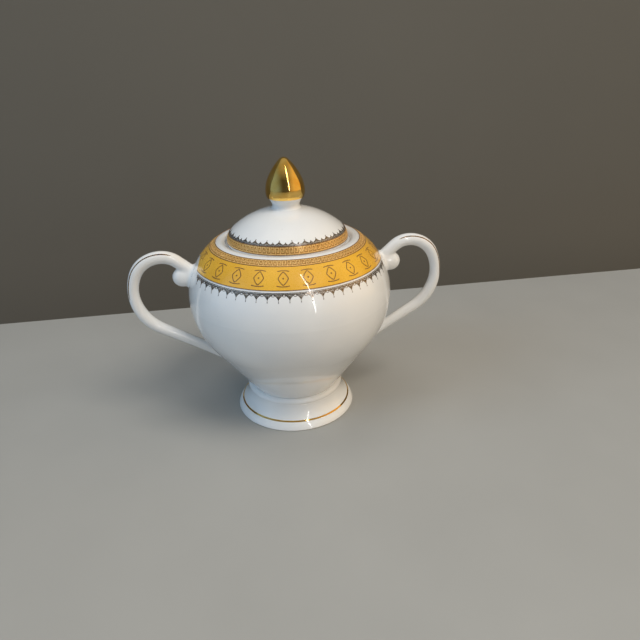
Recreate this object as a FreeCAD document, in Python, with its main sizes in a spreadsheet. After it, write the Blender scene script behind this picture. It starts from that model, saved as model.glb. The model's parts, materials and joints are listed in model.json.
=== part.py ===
import FreeCAD, Part
import os
import Sketcher
from math import atan2, cos, pi, radians, sin, sqrt

# Lidded porcelain sugar bowl on a spreading foot: millimetres, +Z up, axis of revolution on Z,
# standing on Z = 0, one ear handle towards +X and one towards -X.
#
# Fired-clay pieces: bowl, foot, two handles, lid and knob.  The transfers and the gilding that are
# laid on the glaze are thin skins of their own, so every piece on the bench is a node here.

SIZES = {
    # bowl, outside
    "belly_radius": 52.6,       # widest radius of the belly
    "belly_height": 68.3,       # height of that widest line
    "shoulder_arc": 33.0,       # radius of the arc above it
    "lower_arc": 41.0,          # radius of the arc below it
    "cone_angle": 35.0,         # lean of the straight lower wall from the vertical
    "joint_height": 12.4,       # plane where the bowl is luted to its foot
    "bead_radius": 26.55,       # half-round bead at the bowl's bottom, over the joint
    "bead_height": 12.9,
    "bead_arc": 2.15,
    "wall": 3.0,
    "floor_height": 16.0,       # inside bottom of the bowl
    "floor_arc": 16.0,
    # mouth
    "rim_radius": 36.0,         # where the decorated shoulder turns into the plain lip
    "lip_arc": 3.0,
    "lip_inner": 31.6,          # inner edge of the lip, above the ledge
    "lip_inner_height": 96.2,
    "lip_draft": 0.3,           # lean of the lip's inner face
    "ledge_height": 95.2,       # ledge that carries the lid
    "mouth_radius": 28.2,
    "mouth_edge": 0.8,
    "gallery_under": 91.6,      # underside of the ledge
    # foot
    "foot_radius": 32.9,
    "foot_inner": 29.2,
    "foot_round": 0.6,
    "foot_skirt_arc": 8.0,      # from the edge it stands on up to the gilded line
    "foot_line_radius": 30.2,   # the gilded line
    "foot_line_height": 4.4,
    "foot_flare_arc": 11.5,     # hollow flank from the gilded line up to the collar
    "collar_radius": 26.35,
    "collar_height": 11.8,
    "collar_edge": 0.6,         # round edge that leaves a groove under the bead
    "collar_top": 26.0,
    "foot_bore": 19.5,
    "foot_bore_height": 9.6,
    "foot_ring_height": 1.2,    # upright inner face of the ring it stands on
    "foot_ring_draft": 0.4,
    # lid
    "dome_arc": 43.4,
    "dome_top": 112.6,          # height the dome would reach on the axis
    "dome_wall": 2.8,
    "lid_radius": 30.4,
    "edge_angle": 38.5,         # angle from the axis where the dome turns into its edge
    "seat_height": 95.3,
    "seat_edge": 0.6,
    "flange_radius": 27.5,
    "flange_inner": 25.2,
    "flange_bottom": 88.6,
    "flange_edge": 0.8,
    # knob
    "knob_foot": 7.8,
    "knob_foot_arc": 1.9,
    "knob_neck": 7.1,
    "knob_neck_height": 114.5,
    "knob_neck_arc": 7.0,
    "knob_shelf": 8.85,         # where the white neck ends and the gilding starts
    "knob_shelf_height": 117.0,
    "knob_radius": 9.57,
    "knob_height": 119.87,      # height of its widest line
    "knob_belly_arc": 15.52,
    "knob_belly_angle": 25.79,
    "knob_taper_arc": 29.63,
    "knob_tip_radius": 2.0,
    # handles: centre line in the XZ plane
    "handle_reach": 79.7,       # outermost point of the centre line
    "handle_reach_height": 72.1,
    "handle_outer_arc": 23.6,
    "handle_crown_arc": 14.8,
    "handle_top": 90.8,
    "handle_root_arc": 12.0,
    "handle_tail_angle": 31.0,  # slope of the straight tail
    "handle_tail_run": 45.0,    # straight tail, long enough to end inside the bowl's wall
    "handle_root_angle": 40.5,  # slope of the straight root, which runs into the wall likewise
    "handle_root_run": 14.0,
    "handle_radius": 3.1,       # half the thickness of the round section
    "scroll_x": 54.2,
    "scroll_height": 79.7,
    "scroll_radius": 5.2,
    "scroll_half_width": 4.2,
    # decoration
    "skin": 0.15,               # thickness of a transfer or of the gilding
    "key_outer": 39.5,          # radii that part the bands on the shoulder
    "key_inner": 36.2,
    "enamel_outer": 47.2,
    "lace_outer": 49.8,
    "bare_radius": 18.2,        # arch round a handle's root that the bands leave bare
    "bare_height": 72.1,
    "enamel_gap": 0.5,          # degrees each side of a handle's middle where the bands stop
    "lace_gap": 15.0,
    "lid_key_outer": 30.37,     # and those on the rolled edge of the lid
    "lid_key_inner": 29.15,
    "lid_lace_inner": 27.05,
    "line_width": 0.9,          # gilded lines
    "line_offset": 45.0,        # degrees from a handle's crest to its gilded lines
}

doc = FreeCAD.newDocument("sugar_bowl")


class Size:
    """A dimension that carries its value and the sheet formula that gives it."""

    def __init__(self, value, formula):
        self.value = value
        self.formula = formula

    def join(self, other, sign, value):
        return Size(value, f"({self.formula} {sign} {as_size(other).formula})")

    def __add__(self, other):
        return self.join(other, "+", self.value + as_size(other).value)

    def __sub__(self, other):
        return self.join(other, "-", self.value - as_size(other).value)

    def __rsub__(self, other):
        return as_size(other) - self

    def __mul__(self, other):
        return self.join(other, "*", self.value * as_size(other).value)

    def __truediv__(self, other):
        return self.join(other, "/", self.value / as_size(other).value)

    def __neg__(self):
        return self * -1

    __radd__ = __add__
    __rmul__ = __mul__


def as_size(number):
    return number if isinstance(number, Size) else Size(float(number), repr(number))


def sine(angle):
    return Size(sin(radians(angle.value)), f"sin({angle.formula})")


def cosine(angle):
    return Size(cos(radians(angle.value)), f"cos({angle.formula})")


def leg(hypotenuse, side):
    """The other leg of a right-angled triangle."""
    value = sqrt(hypotenuse.value ** 2 - as_size(side).value ** 2)
    return Size(value, f"sqrt({hypotenuse.formula}^2 - {as_size(side).formula}^2)")


def make_sheet():
    sheet = doc.addObject("Spreadsheet::Sheet", "Sizes")
    sizes = {}
    for row, (name, value) in enumerate(SIZES.items(), start=1):
        sheet.set(f"A{row}", name)
        sheet.set(f"B{row}", str(value))
        sheet.setAlias(f"B{row}", name)
        sizes[name] = Size(value, f"Sizes.{name}")
    doc.recompute()
    return sizes


S = make_sheet()


def origin_plane(body, role):
    return next(plane for plane in body.Origin.OriginFeatures if plane.Role == role)


def new_sketch(body, name, role, offset=None):
    sketch = body.newObject("Sketcher::SketchObject", name)
    sketch.AttachmentSupport = (origin_plane(body, role), [""])
    sketch.MapMode = "FlatFace"
    if offset is not None:
        sketch.setExpression("AttachmentOffset.Base.z", offset.formula)
    return sketch


def bind(sketch, constraint, size):
    """Add a sizing constraint that follows the sheet."""
    number = sketch.addConstraint(constraint)
    sketch.setExpression(f"Constraints[{number}]", size.formula)


def arc_between(start, end, radius, turn):
    """Arc from start to end; turn is 1 for counter-clockwise and -1 for clockwise."""
    middle_x = (start[0] + end[0]) / 2
    middle_y = (start[1] + end[1]) / 2
    chord_x = end[0] - start[0]
    chord_y = end[1] - start[1]
    chord = sqrt(chord_x ** 2 + chord_y ** 2)
    rise = turn * sqrt(max(radius ** 2 - chord ** 2 / 4, 0))
    centre = FreeCAD.Vector(middle_x - rise * chord_y / chord, middle_y + rise * chord_x / chord, 0)
    first, last = (start, end) if turn > 0 else (end, start)
    angles = [atan2(point[1] - centre.y, point[0] - centre.x) for point in (first, last)]
    if angles[1] < angles[0]:
        angles[1] += 2 * pi
    circle = Part.Circle(centre, FreeCAD.Vector(0, 0, 1), radius)
    return Part.ArcOfCircle(circle, angles[0], angles[1])


def draw(sketch, start, steps, closed=True):
    """Draw an outline.  A step is (x, y) for a line, or (x, y, radius, turn) for an arc."""
    corners = [start] + [step[:2] for step in steps]
    edges = []
    for number, step in enumerate(steps):
        ends = [tuple(size.value for size in corners[number + k]) for k in (0, 1)]
        if len(step) == 2:
            points = [FreeCAD.Vector(x, y, 0) for x, y in ends]
            edge = sketch.addGeometry(Part.LineSegment(*points))
            edges.append((edge, 1, 2))
        else:
            radius, turn = step[2:]
            edge = sketch.addGeometry(arc_between(*ends, radius.value, turn))
            bind(sketch, Sketcher.Constraint("Radius", edge, radius.value), radius)
            edges.append((edge, 1, 2) if turn > 0 else (edge, 2, 1))
    for (edge, _, last), (following, first, _) in zip(edges, edges[1:]):
        sketch.addConstraint(Sketcher.Constraint("Coincident", edge, last, following, first))
    if closed:
        sketch.addConstraint(Sketcher.Constraint("Coincident", edges[-1][0], edges[-1][2],
                                                 edges[0][0], edges[0][1]))
    ends = [(edge, first) for edge, first, _ in edges]
    if not closed:
        ends.append((edges[-1][0], edges[-1][2]))
    for (edge, end), (x, y) in zip(ends, corners):
        bind(sketch, Sketcher.Constraint("DistanceX", -1, 1, edge, end, x.value), x)
        bind(sketch, Sketcher.Constraint("DistanceY", -1, 1, edge, end, y.value), y)


def revolved(label, outline, start, steps, role="XZ_Plane", sweep=None, turned=False):
    """A body turned about Z from a closed outline; sweep is the angle when it isn't a full turn."""
    body = doc.addObject("PartDesign::Body", label)
    body.Label = label
    sketch = new_sketch(body, outline, role)
    draw(sketch, start, steps)
    turn = body.newObject("PartDesign::Revolution", f"{label}_turn")
    turn.Profile = sketch
    turn.ReferenceAxis = (sketch, ["V_Axis"])
    if sweep is None:
        turn.Angle = 360
    else:
        turn.Midplane = True
        turn.setExpression("Angle", sweep.formula)
    if turned:
        body.Placement = HALF_TURN
    return body


HALF_TURN = FreeCAD.Placement(FreeCAD.Vector(), FreeCAD.Rotation(FreeCAD.Vector(0, 0, 1), 180))

ZERO = Size(0.0, "0")

# Places that several pieces share, worked out once from the sheet.
shoulder_x = S["belly_radius"] - S["shoulder_arc"]
lower_x = S["belly_radius"] - S["lower_arc"]
cone_x = lower_x + S["lower_arc"] * cosine(S["cone_angle"])
cone_height = S["belly_height"] - S["lower_arc"] * sine(S["cone_angle"])
cone_slope = sine(S["cone_angle"]) / cosine(S["cone_angle"])
bead_x = S["bead_radius"] - S["bead_arc"]
bead_top = S["bead_height"] + S["bead_arc"]
base_radius = bead_x + leg(S["bead_arc"], S["bead_height"] - S["joint_height"])
dome_centre = S["dome_top"] - S["dome_arc"]
edge_arc = (S["lid_radius"] - S["dome_arc"] * sine(S["edge_angle"])) / (1 - sine(S["edge_angle"]))
edge_x = S["lid_radius"] - edge_arc
edge_height = dome_centre + (S["dome_arc"] - edge_arc) * cosine(S["edge_angle"])


def on_shoulder(radius, lift=ZERO):
    """Point of the shoulder at this radius, lifted off the glaze by the thickness of a skin."""
    run = radius - shoulder_x
    scale = (S["shoulder_arc"] + lift) / S["shoulder_arc"]
    return (shoulder_x + run * scale, S["belly_height"] + leg(S["shoulder_arc"], run) * scale)


def on_dome(radius, lift=ZERO):
    scale = (S["dome_arc"] + lift) / S["dome_arc"]
    return (radius * scale, dome_centre + leg(S["dome_arc"], radius) * scale)


def on_lid_edge(radius, lift=ZERO):
    run = radius - edge_x
    scale = (edge_arc + lift) / edge_arc
    return (edge_x + run * scale, edge_height + leg(edge_arc, run) * scale)


def bowl_outside():
    """From the luting joint over the bead and up the wall to the crest of the lip."""
    rim = on_shoulder(S["rim_radius"])
    lip_scale = S["lip_arc"] / S["shoulder_arc"]
    crest_x = rim[0] - (rim[0] - shoulder_x) * lip_scale
    crest_height = rim[1] + S["lip_arc"] - (rim[1] - S["belly_height"]) * lip_scale
    return [
        (base_radius, S["joint_height"]),
        (bead_x, bead_top, S["bead_arc"], 1),
        (cone_x - (cone_height - bead_top) * cone_slope, bead_top),
        (cone_x, cone_height),
        (S["belly_radius"], S["belly_height"], S["lower_arc"], 1),
        (*rim, S["shoulder_arc"], 1),
        (crest_x, crest_height, S["lip_arc"], 1),
    ]


def make_bowl_form():
    """The bowl without its hollow, which shapes the roots of the handles."""
    steps = bowl_outside()
    steps.append((ZERO, steps[-1][1]))
    steps.append((ZERO, S["joint_height"]))
    return revolved("bowl_form", "form_outline", (ZERO, S["joint_height"]), steps)


def make_bowl():
    steps = bowl_outside()
    inner_arc = S["shoulder_arc"] - S["wall"]
    under_x = shoulder_x + leg(inner_arc, S["gallery_under"] - S["belly_height"])
    inner_cone_x = lower_x + (S["lower_arc"] - S["wall"]) * cosine(S["cone_angle"])
    inner_cone_height = S["belly_height"] - (S["lower_arc"] - S["wall"]) * sine(S["cone_angle"])
    floor_corner = inner_cone_x - (inner_cone_height - S["floor_height"]) * cone_slope
    floor_run = S["floor_arc"] * (1 - sine(S["cone_angle"])) / cosine(S["cone_angle"])
    steps += [
        (S["lip_inner"], S["lip_inner_height"], S["lip_arc"], 1),
        (S["lip_inner"] - S["lip_draft"], S["ledge_height"]),
        (S["mouth_radius"] + S["mouth_edge"], S["ledge_height"]),
        (S["mouth_radius"], S["ledge_height"] - S["mouth_edge"], S["mouth_edge"], 1),
        (S["mouth_radius"], S["gallery_under"] + S["mouth_edge"]),
        (S["mouth_radius"] + S["mouth_edge"], S["gallery_under"], S["mouth_edge"], 1),
        (under_x, S["gallery_under"]),
        (S["belly_radius"] - S["wall"], S["belly_height"], inner_arc, -1),
        (inner_cone_x, inner_cone_height, S["lower_arc"] - S["wall"], -1),
        (floor_corner + floor_run * sine(S["cone_angle"]),
         S["floor_height"] + floor_run * cosine(S["cone_angle"])),
        (floor_corner - floor_run, S["floor_height"], S["floor_arc"], -1),
        (ZERO, S["floor_height"]),
        (ZERO, S["joint_height"]),
    ]
    return revolved("bowl_body", "bowl_outline", (ZERO, S["joint_height"]), steps)


def make_foot():
    """Hollow spreading foot: round edge, gilded line on a small facet, hollow flank and collar."""
    facet = S["line_width"] * cosine(S["line_offset"]) / 2
    steps = [
        (S["foot_radius"] - S["foot_round"], ZERO),
        (S["foot_radius"], S["foot_round"], S["foot_round"], 1),
        (S["foot_line_radius"] + facet, S["foot_line_height"] - facet, S["foot_skirt_arc"], 1),
        (S["foot_line_radius"] - facet, S["foot_line_height"] + facet),
        (S["collar_radius"], S["collar_height"], S["foot_flare_arc"], -1),
        (S["collar_top"], S["joint_height"], S["collar_edge"], 1),
        (S["foot_bore"], S["joint_height"]),
        (S["foot_bore"], S["foot_bore_height"]),
        (S["foot_inner"] - S["foot_ring_draft"], S["foot_ring_height"], S["foot_bore"], 1),
        (S["foot_inner"], ZERO),
    ]
    return revolved("pedestal_foot", "foot_outline", (S["foot_inner"], ZERO), steps)


def make_lid():
    inner_arc = S["dome_arc"] - S["dome_wall"]
    edge = S["flange_edge"]
    steps = [
        (S["flange_radius"] - edge, S["flange_bottom"]),
        (S["flange_radius"], S["flange_bottom"] + edge, edge, 1),
        (S["flange_radius"], S["seat_height"]),
        (S["lid_radius"] - S["seat_edge"], S["seat_height"]),
        (S["lid_radius"], S["seat_height"] + S["seat_edge"], S["seat_edge"], 1),
        (S["lid_radius"], edge_height),
        (*on_dome(S["dome_arc"] * sine(S["edge_angle"])), edge_arc, 1),
        (*on_dome(S["knob_foot"]), S["dome_arc"], 1),
        (ZERO, on_dome(S["knob_foot"])[1]),
        (ZERO, dome_centre + inner_arc),
        (S["flange_inner"], dome_centre + leg(inner_arc, S["flange_inner"]), inner_arc, -1),
        (S["flange_inner"], S["flange_bottom"] + edge),
        (S["flange_inner"] + edge, S["flange_bottom"], edge, 1),
    ]
    return revolved("lid", "lid_outline", (S["flange_inner"] + edge, S["flange_bottom"]), steps)


def knob_curve(lift=ZERO):
    """The bud from its shelf to its tip, lifted off the glaze by the thickness of a skin."""
    run = S["knob_radius"] - S["knob_shelf"]
    rise = S["knob_height"] - S["knob_shelf_height"]
    under_arc = (run * run + rise * rise) / (run * 2)
    under_x = S["knob_radius"] - under_arc
    scale = (under_arc + lift) / under_arc
    belly_x = S["knob_radius"] - S["knob_belly_arc"]
    belly_end = belly_x + S["knob_belly_arc"] * cosine(S["knob_belly_angle"])
    taper_x = belly_end - S["knob_taper_arc"] * cosine(S["knob_belly_angle"])
    taper_height = (S["knob_height"] + S["knob_belly_arc"] * sine(S["knob_belly_angle"])
                    - S["knob_taper_arc"] * sine(S["knob_belly_angle"]))
    tip_run = S["knob_tip_radius"] - taper_x
    tip_rise = leg(S["knob_taper_arc"], tip_run)
    tip_ball = S["knob_tip_radius"] * S["knob_taper_arc"] / tip_run
    tip_centre = taper_height + tip_rise - S["knob_tip_radius"] * tip_rise / tip_run
    tip_scale = (S["knob_taper_arc"] + lift) / S["knob_taper_arc"]
    belly_arc = S["knob_belly_arc"] + lift
    return [
        (under_x + (S["knob_shelf"] - under_x) * scale, S["knob_height"] - rise * scale),
        (S["knob_radius"] + lift, S["knob_height"], under_arc + lift, 1),
        (belly_x + belly_arc * cosine(S["knob_belly_angle"]),
         S["knob_height"] + belly_arc * sine(S["knob_belly_angle"]), belly_arc, 1),
        (taper_x + tip_run * tip_scale, taper_height + tip_rise * tip_scale,
         S["knob_taper_arc"] + lift, 1),
        (ZERO, tip_centre + tip_ball + lift, tip_ball + lift, 1),
    ]


def make_knob():
    base = on_dome(S["knob_foot"])[1]
    steps = [
        (S["knob_foot"], base),
        (S["knob_neck"], S["knob_neck_height"], S["knob_foot_arc"], -1),
        (S["knob_shelf"], S["knob_shelf_height"], S["knob_neck_arc"], -1),
        *knob_curve()[1:],
        (ZERO, base),
    ]
    return revolved("knob", "knob_outline", (ZERO, base), steps)


def make_knob_gilding():
    inside = knob_curve()
    outside = knob_curve(S["skin"])
    steps = outside + [(ZERO, inside[-1][1])]
    for (x, height, *_), (_, _, radius, _) in zip(reversed(inside[:-1]), reversed(inside[1:])):
        steps.append((x, height, radius, -1))
    return revolved("knob_gilding", "gilding_outline", inside[0], steps)


def skin_outline(place, low, high, arc):
    """A thin skin that follows an arc of the profile from one radius to another."""
    lift = S["skin"]
    start = place(low)
    return start, [
        place(low, lift),
        (*place(high, lift), arc + lift, 1),
        place(high),
        (*start, arc, -1),
    ]


def leave_bare(body):
    """Cut away what a band has round the roots of the handles."""
    arch = new_sketch(body, f"{body.Label}_arch", "YZ_Plane")
    middle = FreeCAD.Vector(0, S["bare_height"].value, 0)
    circle = arch.addGeometry(Part.Circle(middle, FreeCAD.Vector(0, 0, 1), S["bare_radius"].value))
    bind(arch, Sketcher.Constraint("Radius", circle, S["bare_radius"].value), S["bare_radius"])
    arch.addConstraint(Sketcher.Constraint("PointOnObject", circle, 3, -2))
    bind(arch, Sketcher.Constraint("DistanceY", -1, 1, circle, 3, middle.y), S["bare_height"])
    pocket = body.newObject("PartDesign::Pocket", f"{body.Label}_cut")
    pocket.Profile = arch
    pocket.Type = "ThroughAll"
    pocket.Midplane = True


def make_bands():
    """Transfers on the shoulder and the lid; the wide ones go round the roots of the handles."""
    shoulder = S["shoulder_arc"]
    parts = [revolved("key_band", "key_outline",
                      *skin_outline(on_shoulder, S["key_outer"], S["key_inner"], shoulder))]
    for side, turned in (("back", False), ("front", True)):
        for name, gap, low, high in (("enamel_band", "enamel_gap", "enamel_outer", "key_outer"),
                                     ("lace_border", "lace_gap", "lace_outer", "enamel_outer")):
            outline = skin_outline(on_shoulder, S[low], S[high], shoulder)
            band = revolved(f"{name}_{side}", f"{name}_{side}_outline", *outline,
                            role="YZ_Plane", sweep=180 - S[gap] * 2, turned=turned)
            leave_bare(band)
            parts.append(band)
    key = skin_outline(on_lid_edge, S["lid_key_outer"], S["lid_key_inner"], edge_arc)
    lace = skin_outline(on_lid_edge, S["lid_key_inner"], S["lid_lace_inner"], edge_arc)
    parts.append(revolved("lid_key_band", "lid_key_outline", *key))
    parts.append(revolved("lid_lace_border", "lid_lace_outline", *lace))
    return parts


def make_foot_line():
    facet = S["line_width"] * cosine(S["line_offset"]) / 2
    lift = S["skin"] * cosine(S["line_offset"])
    x, height = S["foot_line_radius"], S["foot_line_height"]
    start = (x + facet, height - facet)
    steps = [
        (x + facet + lift, height - facet + lift),
        (x - facet + lift, height + facet + lift),
        (x - facet, height + facet),
        start,
    ]
    return revolved("foot_gold_line", "foot_line_outline", start, steps)


def handle_centre_line(lift=ZERO):
    """Centre line of a handle, shifted outwards by lift: its start, crown half and tail half."""
    outer, crown, root = S["handle_outer_arc"], S["handle_crown_arc"], S["handle_root_arc"]
    outer_x = S["handle_reach"] - outer
    rise = S["handle_top"] - crown - S["handle_reach_height"]
    crown_run = leg(outer - crown, rise)
    scale = (outer + lift) / (outer - crown)
    angle = S["handle_root_angle"]
    root_x = outer_x + crown_run - (root + lift) * sine(angle)
    root_height = S["handle_top"] - root + (root + lift) * cosine(angle)
    crown_half = [
        (outer_x + crown_run * scale, S["handle_reach_height"] + rise * scale, outer + lift, 1),
        (outer_x + crown_run, S["handle_top"] + lift, crown + lift, 1),
        (root_x, root_height, root + lift, 1),
        (root_x - S["handle_root_run"] * cosine(angle),
         root_height - S["handle_root_run"] * sine(angle)),
    ]
    tail_x = outer_x + (outer + lift) * sine(S["handle_tail_angle"])
    tail_height = S["handle_reach_height"] - (outer + lift) * cosine(S["handle_tail_angle"])
    tail_half = [
        (tail_x, tail_height, outer + lift, -1),
        (tail_x - S["handle_tail_run"] * cosine(S["handle_tail_angle"]),
         tail_height - S["handle_tail_run"] * sine(S["handle_tail_angle"])),
    ]
    return (S["handle_reach"] + lift, S["handle_reach_height"]), crown_half, tail_half


def round_section(body, name, centre_x, centre_y, radius):
    """Circle in a level plane at the height where the handle's centre line stands upright."""
    section = new_sketch(body, name, "XY_Plane", S["handle_reach_height"])
    middle = FreeCAD.Vector(centre_x.value, centre_y.value, 0)
    circle = section.addGeometry(Part.Circle(middle, FreeCAD.Vector(0, 0, 1), radius.value))
    bind(section, Sketcher.Constraint("Radius", circle, radius.value), radius)
    bind(section, Sketcher.Constraint("DistanceX", -1, 1, circle, 3, middle.x), centre_x)
    if centre_y is ZERO:
        section.addConstraint(Sketcher.Constraint("PointOnObject", circle, 3, -1))
    else:
        bind(section, Sketcher.Constraint("DistanceY", -1, 1, circle, 3, middle.y), centre_y)
    return section


def pipe(body, name, section, start, steps, offset=None):
    path = new_sketch(body, f"{name}_path", "XZ_Plane", offset)
    draw(path, start, steps, closed=False)
    sweep = body.newObject("PartDesign::AdditivePipe", name)
    sweep.Profile = section
    sweep.Spine = path
    return sweep


def make_handle(side, turned, form):
    """Ear handle with a rolled scroll under its root, cut to the face of the bowl."""
    blank = doc.addObject("PartDesign::Body", f"handle_{side}_blank")
    start, crown_half, tail_half = handle_centre_line()
    for half, steps in (("crown", crown_half), ("tail", tail_half)):
        section = round_section(blank, f"{half}_{side}_section", start[0], ZERO, S["handle_radius"])
        pipe(blank, f"{half}_{side}", section, start, steps)
    scroll = blank.newObject("PartDesign::AdditiveEllipsoid", f"scroll_{side}")
    scroll.setExpression("Radius1", S["scroll_radius"].formula)
    scroll.setExpression("Radius2", S["scroll_radius"].formula)
    scroll.setExpression("Radius3", S["scroll_half_width"].formula)
    scroll.AttachmentSupport = (origin_plane(blank, "XY_Plane"), [""])
    scroll.MapMode = "FlatFace"
    scroll.setExpression("AttachmentOffset.Base.x", S["scroll_x"].formula)
    scroll.setExpression("AttachmentOffset.Base.z", S["scroll_height"].formula)
    if turned:
        blank.Placement = HALF_TURN
    handle = doc.addObject("Part::Cut", f"handle_{side}")
    handle.Label = f"handle_{side}"
    handle.Base = blank
    handle.Tool = form
    return handle


def make_handle_line(side, turned, face, sign):
    """Gilded line along one flank of a handle's crest, from over the root to the outermost point."""
    body = doc.addObject("PartDesign::Body", f"handle_line_{side}_{face}")
    body.Label = f"handle_line_{side}_{face}"
    reach = (S["handle_radius"] - S["line_width"] / 2 + S["skin"])
    lift = reach * cosine(S["line_offset"])
    aside = reach * sine(S["line_offset"]) * sign
    start, crown_half, _ = handle_centre_line(lift)
    section = round_section(body, f"line_{side}_{face}_section", start[0], -aside,
                            S["line_width"] / 2)
    pipe(body, f"line_{side}_{face}", section, start, crown_half[:2], aside)
    if turned:
        body.Placement = HALF_TURN
    return body


def check(objects):
    """Stop on any object that failed, and on any sub-part without one valid solid shape."""
    for item in doc.Objects:
        if "Invalid" in item.State or "Error" in item.State:
            raise RuntimeError(f"{item.Label}: {item.State}")
    for item in objects:
        shape = item.Shape
        if shape.isNull() or not shape.isValid() or not shape.Solids:
            raise RuntimeError(f"{item.Label} has no valid solid")
        print(f"{item.Label:26s} {len(shape.Solids)} solid(s) {shape.Volume:10.1f} mm3")


def main():
    form = make_bowl_form()
    parts = [make_bowl(), make_foot(), make_lid(), make_knob(), make_knob_gilding()]
    parts += make_bands()
    parts.append(make_foot_line())
    for side, turned in (("right", False), ("left", True)):
        parts.append(make_handle(side, turned, form))
        for face, sign in (("front", 1), ("back", -1)):
            parts.append(make_handle_line(side, turned, face, sign))
    doc.recompute()
    check(parts)
    os.makedirs("parts", exist_ok=True)
    for part in parts:
        part.Shape.exportStep(f"parts/{part.Label}.step")


main()
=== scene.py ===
import json
from math import atan2, ceil, cos, hypot, pi, radians, sin, sqrt

import bpy
import numpy as np
from mathutils import Matrix, Vector


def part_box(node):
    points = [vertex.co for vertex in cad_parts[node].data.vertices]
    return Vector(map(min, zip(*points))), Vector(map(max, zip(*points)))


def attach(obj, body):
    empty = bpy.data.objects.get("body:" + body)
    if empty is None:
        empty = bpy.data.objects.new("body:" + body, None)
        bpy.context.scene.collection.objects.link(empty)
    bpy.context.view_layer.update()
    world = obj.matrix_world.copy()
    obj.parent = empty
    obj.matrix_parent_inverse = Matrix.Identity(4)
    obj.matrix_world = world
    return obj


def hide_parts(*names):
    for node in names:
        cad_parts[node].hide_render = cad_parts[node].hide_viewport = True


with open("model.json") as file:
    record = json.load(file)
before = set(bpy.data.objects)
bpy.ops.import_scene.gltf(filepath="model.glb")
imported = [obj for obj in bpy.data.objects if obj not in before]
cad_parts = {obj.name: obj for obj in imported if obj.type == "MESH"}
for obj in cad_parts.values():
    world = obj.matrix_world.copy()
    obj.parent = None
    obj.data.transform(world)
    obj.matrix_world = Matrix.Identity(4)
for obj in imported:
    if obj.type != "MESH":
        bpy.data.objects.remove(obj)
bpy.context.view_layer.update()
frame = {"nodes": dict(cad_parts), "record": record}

# The looks of a lidded porcelain sugar bowl: glaze, printed bands, gilding and soft-edged handles.
# Lengths are millimetres in this script, and become metres where a mesh, light or camera is made.

MM = 0.001
TINY = 1e-6                 # keeps a division away from nought

# camera: where it stands round the bowl, and how it is turned
CAMERA_REACH = 256.8        # level distance from the axis of the bowl
CAMERA_HEIGHT = 172.5
CAMERA_TURN = 5.2           # degrees that it stands to the left of the front, seen from the bowl
CAMERA_YAW = 3.4            # degrees that it looks to the right of the axis
CAMERA_PITCH = 25.65        # degrees that it looks down
CAMERA_ROLL = 1.59
CAMERA_LENS = 29.25

# prints: strokes lie on the skins that the CAD part has under them
STROKE_LIFT = 0.05          # how far a printed stroke stands proud of its ground
STROKE_SINK = 0.10          # how far it reaches below it
STROKE_STEP = 1.2           # longest straight piece of a stroke on a curved face
SHARPEST_MITRE = 0.5        # least agreement of two pieces of a stroke, so that no corner shoots out
CREASE_ANGLE = 40.0         # degrees beyond which an edge is drawn sharp
RULE_WIDTH = 0.30           # the thin dark lines along the edges of the bands
KEY_STROKE = 0.33
KEY_MARGIN = 0.62           # from a key band's edge to the fret
KEY_UNITS_BOWL = 112
KEY_UNITS_LID = 88
KEY_GRID = 4.5              # steps of the fret in a unit
# a unit of the fret, as (steps along, steps up) from the line that it stands on
KEY_HOOK = ((0, 0), (0, 4), (3, 4), (3, 1.35), (1.5, 1.35), (1.5, 2.7))
MOTIF_COUNT = 25            # round the whole bowl, less those over the handles
MOTIF_PITCH = 360 / MOTIF_COUNT
MOTIF_OFFSET = -9.0         # degrees from the front to the first one
MOTIF_LIMIT = 84.0          # most degrees from the middle of a half to a motif of its row
MOTIF_STROKE = 0.40
MOTIF_BEAD = 0.40
LOZENGE_TALL = 3.2          # half its height and half its width
LOZENGE_WIDE = 2.3
LOZENGE_BULGE = 0.62        # 0.5 would make its sides straight
BAR_GAP = 0.6               # from the lozenge to the bar above or below it
BAR_REACH = 2.75            # half the length of a bar, where along it the bend is, and its curl
BAR_BEND = 0.6
BAR_CURL = 0.4
BARE_RADIUS = 18.5          # the arch kept clear round a handle's root: its radius and middle height
BARE_HEIGHT = 72.1
RULE_SWEEP = 76.0           # degrees from the middle of a half to the end of its lower rule
LACE_SWEEP = 72.6           # and of its lace
LACE_PITCH = 5.786
LACE_POINTS = 25            # on each half
# depths below the upper edge of the bowl's lace, and the widths of what lies there
LACE_LINE, LACE_LINE_WIDTH = 0.95, 0.34
LACE_STRIP, LACE_STRIP_WIDTH = 1.52, 0.50
LACE_FOOT = 1.7             # where the points start
LACE_TIP = 3.9              # and where they end
LACE_DROP = 1.2             # from a point's tip to the bead under it
LACE_FULLNESS = 0.88        # share of the pitch that a point takes up
LACE_CHEVRONS = ((1.0, 0.32), (0.62, 0.26), (0.28, 0.22))     # size and stroke of each
LACE_BLUNT = 0.25           # share of a point's depth that even the smallest chevron reaches
LACE_WAIST = 0.3            # how far a chevron bends in, as a share of its width and depth
LACE_STEM = 0.16
LACE_BEAD = 0.22
LACE_SCALLOP = 0.8          # half the width of the small arch between two points
SCALLOP_BEND = 0.64         # where it bends: how far from its crown, and how deep
SCALLOP_SHOULDER = 2.6
SCALLOP_CROWN = 2.5
SCALLOP_STROKE = 0.26
LID_PEAKS = 30
LID_PEAK_OFFSET = -1.4
# heights over the lower edge of the lid's lace, and widths
LID_STRIP, LID_STRIP_WIDTH = 0.30, 0.46
LID_LINE, LID_LINE_WIDTH = 0.74, 0.20
LID_FOOT = 0.80
# the tall and the low points in turn: height, share of the pitch, and how far the bead stands over the tip
LID_TALL = (1.6, 0.62, 0.40)
LID_LOW = (0.8, 0.40, 0.15)

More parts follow.
